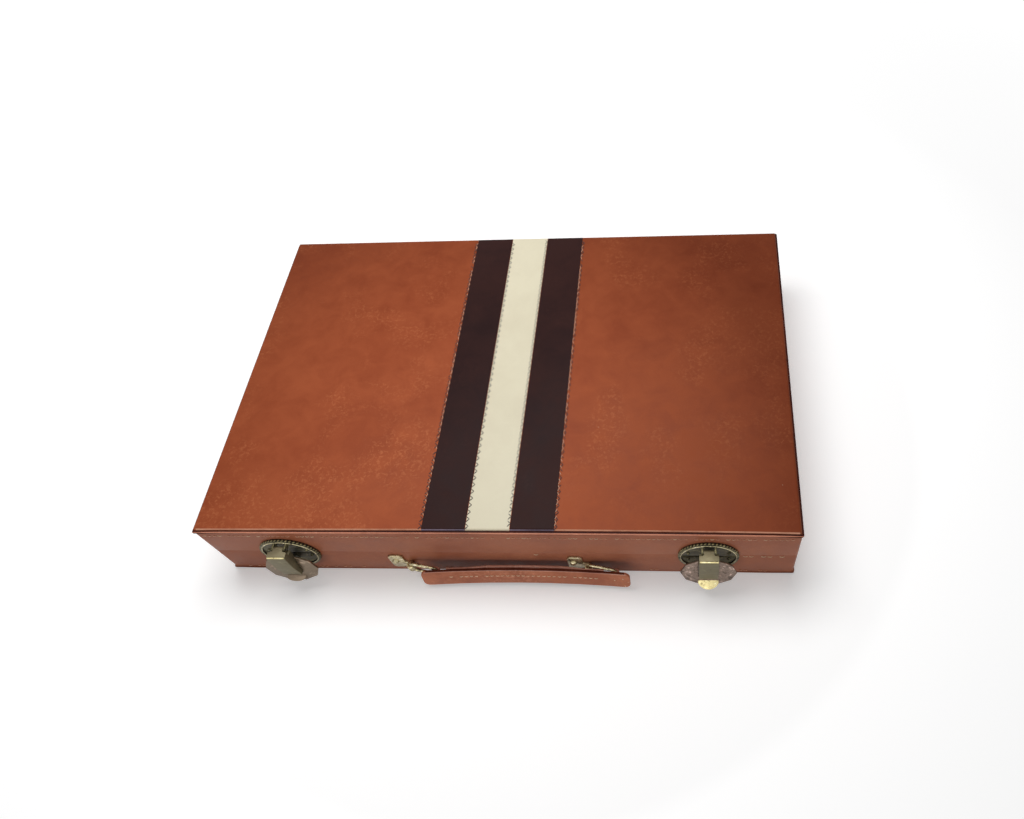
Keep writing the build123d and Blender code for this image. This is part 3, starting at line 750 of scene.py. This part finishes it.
snap_axes = {side: Vector(joints[f"snap_{side}_flip"]["pos_m"]) for side in ("left", "right")}
plate_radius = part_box("latch_plates")[1].z - seam_z
rim_front_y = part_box("latch_keepers")[0].y
# Each half of a latch plate: its name, its body and the way it faces from the seam
halves = (("upper", "lid", 1), ("lower", "base", -1))


def shine_lip(cap, side):
    """Gives a cap's thumb lip its own brass, on the right a pale one as a painted highlight;
    the left one's is dull, and that lip is shorter.
    """
    cap_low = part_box(f"snap_cap_{side}")[0]
    lip_back_y = cap_low.y + 3.0 * MM
    lip_top_z = cap_low.z + 6.5 * MM
    cap.data.materials.append(HIGHLIGHT_BRASS if side == "right" else SMOOTH)
    if side == "left":
        short = 0.55
        for vertex in cap.data.vertices:
            if vertex.co.y < lip_back_y and vertex.co.z < lip_top_z:
                vertex.co.y = lip_back_y + (vertex.co.y - lip_back_y) * short
                vertex.co.z = lip_top_z + (vertex.co.z - lip_top_z) * short
    for face in cap.data.polygons:
        if face.center.y < lip_back_y and face.center.z < lip_top_z:
            face.material_index = 1


def bar_highlight(side):
    """A painted highlight across the top of a snap's bar: a thin bright rod along its front edge."""
    low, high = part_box(f"snap_bar_{side}")
    bm = bmesh.new()
    level = high.z - 0.62 * MM
    stand = low.y + 1.08 * MM
    inset = 0.5 * MM
    steps = 6
    width = high.x - low.x - 2 * inset
    path = [Vector((low.x + inset + width * k / steps, stand, level)) for k in range(steps + 1)]
    tube(bm, path, 0.5 * MM, sides=10)
    return finish_mesh(bm, f"bar_highlight_{side}", HIGHLIGHT_BRASS, f"snap_{side}", 60.0)


def darken_rim(piece):
    """Gives the rims of the latch plates, behind the rope's strands, a darker brass."""
    piece.data.materials.append(RIM_DARK_BRASS)
    rim_width = 2.0 * MM
    for face in piece.data.polygons:
        rise = face.center.z - seam_z
        away = min(math.hypot(face.center.x - axis.x, rise) for axis in snap_axes.values())
        if away > plate_radius - rim_width:
            face.material_index = 1


darken_rim(dressed("latch_plates", BRASS, 0.22 * MM, segments=2))
darken_rim(dressed("latch_keepers", BRASS, 0.22 * MM, segments=2))
for side, cap_metal in (("left", SMOOTH), ("right", MOTTLED)):
    cap = dressed(f"snap_cap_{side}", cap_metal, 0.3 * MM, segments=3, angle=12.0)
    shine_lip(cap, side)
    bar_highlight(side)
    dressed(f"snap_bar_{side}", BAR, 0.45 * MM, segments=3, angle=12.0)
    paint(f"snap_clip_{side}", STEEL)
    paint(f"latch_stud_{side}", STEEL)
    paint(f"latch_pin_{side}", STEEL)


def rope_rim(side, half, body, towards):
    """The twisted beading round half of a latch plate's edge."""
    centre_x = snap_axes[side].x
    beads = 25
    bm = bmesh.new()
    ring_radius = plate_radius - 0.35 * MM
    for index in range(beads):
        turn = math.pi * (index + 0.5) / beads * towards
        radial = Vector((math.cos(turn), 0, math.sin(turn)))
        tangent = Vector((-math.sin(turn), 0, math.cos(turn)))
        centre = Vector((centre_x, rim_front_y + 0.8 * MM, seam_z)) + radial * ring_radius
        lean = (tangent * 0.7 + OUT * 0.6 - radial * 0.3).normalized()
        reach = lean * 1.05 * MM
        path = [centre + reach * share for share in (-1.0, -0.6, 0.0, 0.6, 1.0)]
        tube(bm, path, lambda share: 0.68 * MM * math.sqrt(max(0.06, 1 - (2 * share - 1) ** 2)), sides=8)
    return finish_mesh(bm, f"rope_rim_{side}_{half}", ROPE, body, 60.0)


def inner_rim(side, half, body, towards):
    """The plain bright bead inside the rope."""
    centre_x = snap_axes[side].x
    bm = bmesh.new()
    ring_radius = plate_radius - 1.5 * MM
    steps = 36
    margin = 0.012
    span = math.pi - 2 * margin
    turns = [(margin + span * k / steps) * towards for k in range(steps + 1)]
    path = [
        Vector((centre_x + ring_radius * math.cos(t), rim_front_y, seam_z + ring_radius * math.sin(t)))
        for t in turns
    ]
    tube(bm, path, 0.32 * MM, sides=10)
    return finish_mesh(bm, f"rim_bead_{side}_{half}", WIRE, body, 60.0)


def plate_nails(side, half, body, towards):
    """The round-headed nails in half of a latch plate."""
    centre_x = snap_axes[side].x
    nail_x = 12.6 * MM
    nail_z = seam_z + towards * 4.0 * MM
    nail_radius = 1.15 * MM
    nail_height = 0.9 * MM
    plate_face_y = front_y - 1.0 * MM
    bm = bmesh.new()
    for offset in (-nail_x, nail_x):
        dome(bm, (centre_x + offset, plate_face_y, nail_z), OUT, nail_radius, nail_height)
    return finish_mesh(bm, f"plate_nails_{side}_{half}", BRASS, body)


for side in ("left", "right"):
    for half, body, towards in halves:
        rope_rim(side, half, body, towards)
        inner_rim(side, half, body, towards)
        plate_nails(side, half, body, towards)

# The handle

link_axes = {side: Vector(joints[f"link_{side}_swing"]["pos_m"]) for side in ("left", "right")}
handle_axis = Vector(joints["handle_turn"]["pos_m"])
link_reach = handle_axis - link_axes["left"]
link_low, link_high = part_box("link_left")
link_height = link_high.z - link_low.z
wire_radius = 1.1 * MM
rivet_low, rivet_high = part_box("bracket_rivets")

for side in ("left", "right"):
    dressed(f"bracket_{side}", WIRE, 0.3 * MM, segments=2)


def link_ring(side):
    """A rounded ring of wire through the bracket's eye and the strap's loop."""
    eye = link_axes[side]
    along = link_reach.normalized()
    rise = link_height / 2 - wire_radius
    corner = 3.0 * MM
    reach = link_reach.length
    quarter = math.pi / 2
    steps = 6
    path = []
    corners = (
        (reach - corner, rise - corner, 0.0),
        (corner, rise - corner, quarter),
        (corner, corner - rise, 2 * quarter),
        (reach - corner, corner - rise, 3 * quarter),
    )
    for distance, height, start in corners:
        for k in range(steps + 1):
            turn = start + quarter * k / steps
            point = eye + along * (distance + corner * math.cos(turn))
            point.z = eye.z + height + corner * math.sin(turn)
            path.append(point)
    bm = bmesh.new()
    tube(bm, path, wire_radius, sides=14, closed=True)
    piece = finish_mesh(bm, f"link_{side}_wire", WIRE, f"link_{side}", 60.0)
    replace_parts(piece, f"link_{side}")
    return piece


for side in ("left", "right"):
    link_ring(side)

rivet_radius = 2.4 * MM
rivet_height = rivet_high.y - rivet_low.y
rivet_z = (rivet_low.z + rivet_high.z) / 2
rivets_bm = bmesh.new()
for rivet_x in (rivet_low.x + rivet_radius, rivet_high.x - rivet_radius):
    rivet_place = (rivet_x, rivet_high.y, rivet_z)
    dome(rivets_bm, rivet_place, OUT, rivet_radius, rivet_height, rings=7, sides=28)
rivets = finish_mesh(rivets_bm, "bracket_rivet_heads", WIRE, "base")
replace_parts(rivets, "bracket_rivets")

strap_low, strap_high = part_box("strap_outer")
pad_low, pad_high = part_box("strap_pad")
strap_leather = 2.0 * MM
strap_middle_x = (strap_low.x + strap_high.x) / 2
strap_half = (strap_high.x - strap_low.x) / 2
strap_front_y = strap_high.y - strap_leather
strap_sag = strap_front_y - strap_low.y
strap_radius = (strap_half**2 + strap_sag**2) / (2 * strap_sag)
# In the photograph the strap reaches a little further and hangs a little higher than its loops need
strap_stretch = 1.035
strap_raise = 1.8 * MM
strap_middle_z = (strap_low.z + strap_high.z) / 2 + strap_raise
strap_lean = 0.17


def strap_y(x, z, behind=0.0):
    """The strap's front face, or one behind it: bowed towards the case, its top leaning that way too."""
    from_middle = (x - strap_middle_x) / strap_stretch
    bowed = strap_front_y - strap_radius + math.sqrt((strap_radius + behind) ** 2 - from_middle**2)
    return bowed + (z - strap_middle_z) * strap_lean


def front_strap():
    """The outer layer: its top is painted dark as shade, with a pale line along the front corner
    that is worn edge and painted highlight.
    """
    piece = dressed("strap_outer", STRAP, 0.5 * MM, segments=3)
    piece.data.materials.append(SHADED)
    piece.data.materials.append(CUT_EDGE)
    # Painted shade on the top face; on the front corner a painted highlight over the worn edge
    for face in piece.data.polygons:
        if face.center.z > strap_high.z - 0.1 * MM and face.normal.z > 0.9:
            face.material_index = 1
        elif face.center.z > strap_high.z - 0.6 * MM and face.normal.y < -0.2:
            face.material_index = 2
    for vertex in piece.data.vertices:
        vertex.co.x = strap_middle_x + (vertex.co.x - strap_middle_x) * strap_stretch
        vertex.co.z += strap_raise
        vertex.co.y += (vertex.co.z - strap_middle_z) * strap_lean


def back_strap():
    """The inner layer, a little apart from the outer one; its ends are pared thin and lie close.

    The thin ends let the left one pass in front of its bracket when the handle is swung over.
    """
    pared_length = 13 * MM
    pared_slope = 15 * MM
    soft = 0.25 * MM
    low_z = pad_low.z + strap_raise
    high_z = strap_high.z + strap_raise + 0.1 * MM
    steps = 56
    bm = bmesh.new()
    loops = []
    for k in range(steps + 1):
        x = pad_low.x + (pad_high.x - pad_low.x) * k / steps
        from_end = min(x - pad_low.x, pad_high.x - x)
        full = min(1.0, max(0.0, (from_end - pared_length) / pared_slope))
        near = strap_leather + (0.05 + 0.45 * full) * MM
        far = near + (0.75 + 0.65 * full) * MM
        section = (
            (near, low_z + soft),
            (near + soft, low_z),
            (far - soft, low_z),
            (far, low_z + soft),
            (far, high_z - soft),
            (far - soft, high_z),
            (near + soft, high_z),
            (near, high_z - soft),
        )
        loops.append([(x, strap_y(x, z, behind), z) for behind, z in section])
    add_loops(bm, loops)
    piece = finish_mesh(bm, "strap_back_layer", CUT_EDGE, "handle", 60.0)
    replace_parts(piece, "strap_pad")


def strap_stitches():
    """The worn row of stitches along the front of the strap."""
    pitch = 3.4 * MM
    missing = 0.12
    stand = 0.02 * MM
    lift = OUT * 0.25 * MM
    radius = 0.26 * MM
    level = strap_middle_z + 1.4 * MM
    x = -34.5 * MM
    last_x = 63 * MM
    bm = bmesh.new()
    while x < last_x:
        end_x = x + pitch * random.uniform(0.6, 0.75)
        if random.random() > missing:
            start = (x, strap_y(x, level) - stand, level)
            end = (end_x, strap_y(end_x, level) - stand, level)
            stitch(bm, start, end, lift, radius)
        x += pitch
    for x, z in ((73.5, 11.2), (79.0, 13.0), (80.0, 5.2)):
        place = Vector((x * MM, strap_y(x * MM, z * MM) - stand, z * MM))
        stitch(bm, place, place + Vector((1.1 * MM, 0, -0.5 * MM)), lift, radius)
    finish_mesh(bm, "strap_stitches", CREAM_THREAD, "handle")


front_strap()
back_strap()
strap_stitches()
for side in ("left", "right"):
    dressed(f"strap_loop_{side}", CUT_EDGE, 0.25 * MM, segments=2)

# The hinge

paint("base_hinge_leaf", HINGE)
paint("lid_hinge_leaf", HINGE)
paint("hinge_pin", STEEL)


def hinge_screws(tray):
    """The flat heads of the screws along one leaf, almost level with its face."""
    low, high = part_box(f"{tray}_hinge_leaf")
    towards = 1 if tray == "base" else -1
    level = seam_z - towards * 0.02 * MM
    leaf_y = band_high.y - 3.9 * MM
    head_radius = 1.6 * MM
    head_height = 0.05 * MM
    count = 9
    heads = bmesh.new()
    for k in range(count):
        x = low.x + (high.x - low.x) * (k + 0.5) / count
        dome(heads, (x, leaf_y, level), UP * towards, head_radius, head_height)
    finish_mesh(heads, f"hinge_screws_{tray}", STEEL, tray)


hinge_screws("base")
hinge_screws("lid")

# The trays and the playing surface

for node in ("base_board", "lid_board", "base_frame", "lid_frame"):
    paint(node, WOOD)
for tray in ("base", "lid"):
    paint(f"{tray}_field", FELT)
    paint(f"{tray}_light_points", LIGHT_POINT)
    paint(f"{tray}_dark_points", DARK_POINT)
    dressed(f"{tray}_rail", TAN, 0.3 * MM)
dressed("checkers_light", IVORY, 0.6 * MM, segments=2, angle=40.0)
dressed("checkers_dark", UMBER, 0.6 * MM, segments=2, angle=40.0)
dressed("dice_cup_back", CUP, 0.4 * MM, angle=40.0)
dressed("dice_cup_front", CUP, 0.4 * MM, angle=40.0)
dressed("dice", IVORY, 0.8 * MM, angle=40.0)
dressed("doubling_cube", IVORY, 0.8 * MM, angle=40.0)


def cube_number(name, text, centre, turn):
    """One number of the doubling cube, let into a face."""
    curve = bpy.data.curves.new(name, "FONT")
    curve.body = text
    curve.size = 9 * MM
    curve.extrude = 0.08 * MM
    curve.align_x = "CENTER"
    curve.align_y = "CENTER"
    curve.materials.append(PIP)
    made = bpy.data.objects.new(name, curve)
    bpy.context.scene.collection.objects.link(made)
    made.location = centre
    made.rotation_euler = turn
    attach(made, "base")


cube_low, cube_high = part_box("doubling_cube")
cube_middle = (cube_low + cube_high) / 2
cube_number("cube_number_top", "64", (cube_middle.x, cube_middle.y, cube_high.z), (0, 0, 0))
cube_number("cube_number_front", "32", (cube_middle.x, cube_low.y, cube_middle.z), (math.pi / 2, 0, 0))

# The stage: floor, world, lamps and camera


def seen_directly(tree):
    """1 for the rays of a camera, a reflection or a transmission, and 0 for all others."""
    path = tree.nodes.new("ShaderNodeLightPath")
    seen = path.outputs["Is Camera Ray"]
    for name in ("Is Glossy Ray", "Is Transmission Ray"):
        larger = tree.nodes.new("ShaderNodeMath")
        larger.operation = "MAXIMUM"
        tree.links.new(seen, larger.inputs[0])
        tree.links.new(path.outputs[name], larger.inputs[1])
        seen = larger.outputs["Value"]
    return seen


def floor():
    """A pale floor that cameras and reflections see a little brighter, so that only its shadow is grey."""
    size = 6.0
    mesh = bpy.data.meshes.new("floor")
    bm = bmesh.new()
    bmesh.ops.create_grid(bm, x_segments=1, y_segments=1, size=size)
    bm.to_mesh(mesh)
    bm.free()
    made = bpy.data.objects.new("floor", mesh)
    bpy.context.scene.collection.objects.link(made)
    made.location.z = cad_low.z - 0.05 * MM
    g = Graph("floor_white")
    seen = seen_directly(g.tree)
    across = g.axis("X")
    along = g.axis("Y")
    away = g.math("ADD", g.math("MULTIPLY", across, across), g.math("MULTIPLY", along, along))
    # Little light of its own by the part, where its shadow falls, and more towards the horizon
    near = g.span(away, 0.035, 0.085, 0.02, 0.34)
    far = g.span(away, 0.15, 0.9, 0.3, 0.84)
    lift = g.math("MULTIPLY", seen, g.math("MAXIMUM", near, far))
    g.finish(Base_Color=(0.9, 0.9, 0.9, 1), Roughness=0.9, Specular_IOR_Level=0.0)
    g.finish(Emission_Color=(1, 1, 1, 1), Emission_Strength=lift)
    mesh.materials.append(g.material)


def soft_lamp(name, place, target, size, power):
    """A white area lamp aimed at a point, unseen by the camera."""
    lamp = bpy.data.lights.new(name, "AREA")
    lamp.shape = "RECTANGLE"
    lamp.size = size[0]
    lamp.size_y = size[1]
    lamp.energy = power
    made = bpy.data.objects.new(name, lamp)
    bpy.context.scene.collection.objects.link(made)
    made.location = place
    made.rotation_mode = "QUATERNION"
    made.rotation_quaternion = (Vector(target) - Vector(place)).to_track_quat("-Z", "Y")
    made.visible_camera = False


def world():
    """Plain white, dimmer as a light than as a background."""
    made = bpy.data.worlds.new("studio")
    bpy.context.scene.world = made
    made.use_nodes = True
    tree = made.node_tree
    back = tree.nodes["Background"]
    back.inputs["Color"].default_value = (1, 1, 1, 1)
    level = tree.nodes.new("ShaderNodeMapRange")
    tree.links.new(seen_directly(tree), level.inputs["Value"])
    level.inputs["To Min"].default_value = 0.2
    level.inputs["To Max"].default_value = 1.0
    tree.links.new(level.outputs["Result"], back.inputs["Strength"])


def camera():
    """The photograph's viewpoint, worked out from the case's corners in it."""
    data = bpy.data.cameras.new("camera")
    data.sensor_width = 36.0
    data.lens = 27.303
    data.shift_x = -0.1138
    data.shift_y = 0.0032
    data.clip_start = 0.01
    data.clip_end = 20.0
    made = bpy.data.objects.new("camera", data)
    bpy.context.scene.collection.objects.link(made)
    right = Vector((0.99691, 0.03851, -0.06848))
    down = Vector((-0.00529, -0.83675, -0.54756))
    forward = Vector((-0.07839, 0.54623, -0.83396))
    turn = Matrix((right, -down, -forward)).transposed().to_4x4()
    made.matrix_world = Matrix.Translation(Vector((0.12258, -0.31881, 0.48585))) @ turn
    bpy.context.scene.camera = made


floor()
world()
soft_lamp("key", (-0.08, 0.18, 0.78), (0.0, -0.02, 0.03), (0.66, 0.46), 5.4)
soft_lamp("fill", (-0.25, -1.3, 0.3), (0.0, -0.05, 0.03), (1.2, 0.4), 3.2)
camera()
bpy.context.scene.view_settings.view_transform = "Standard"
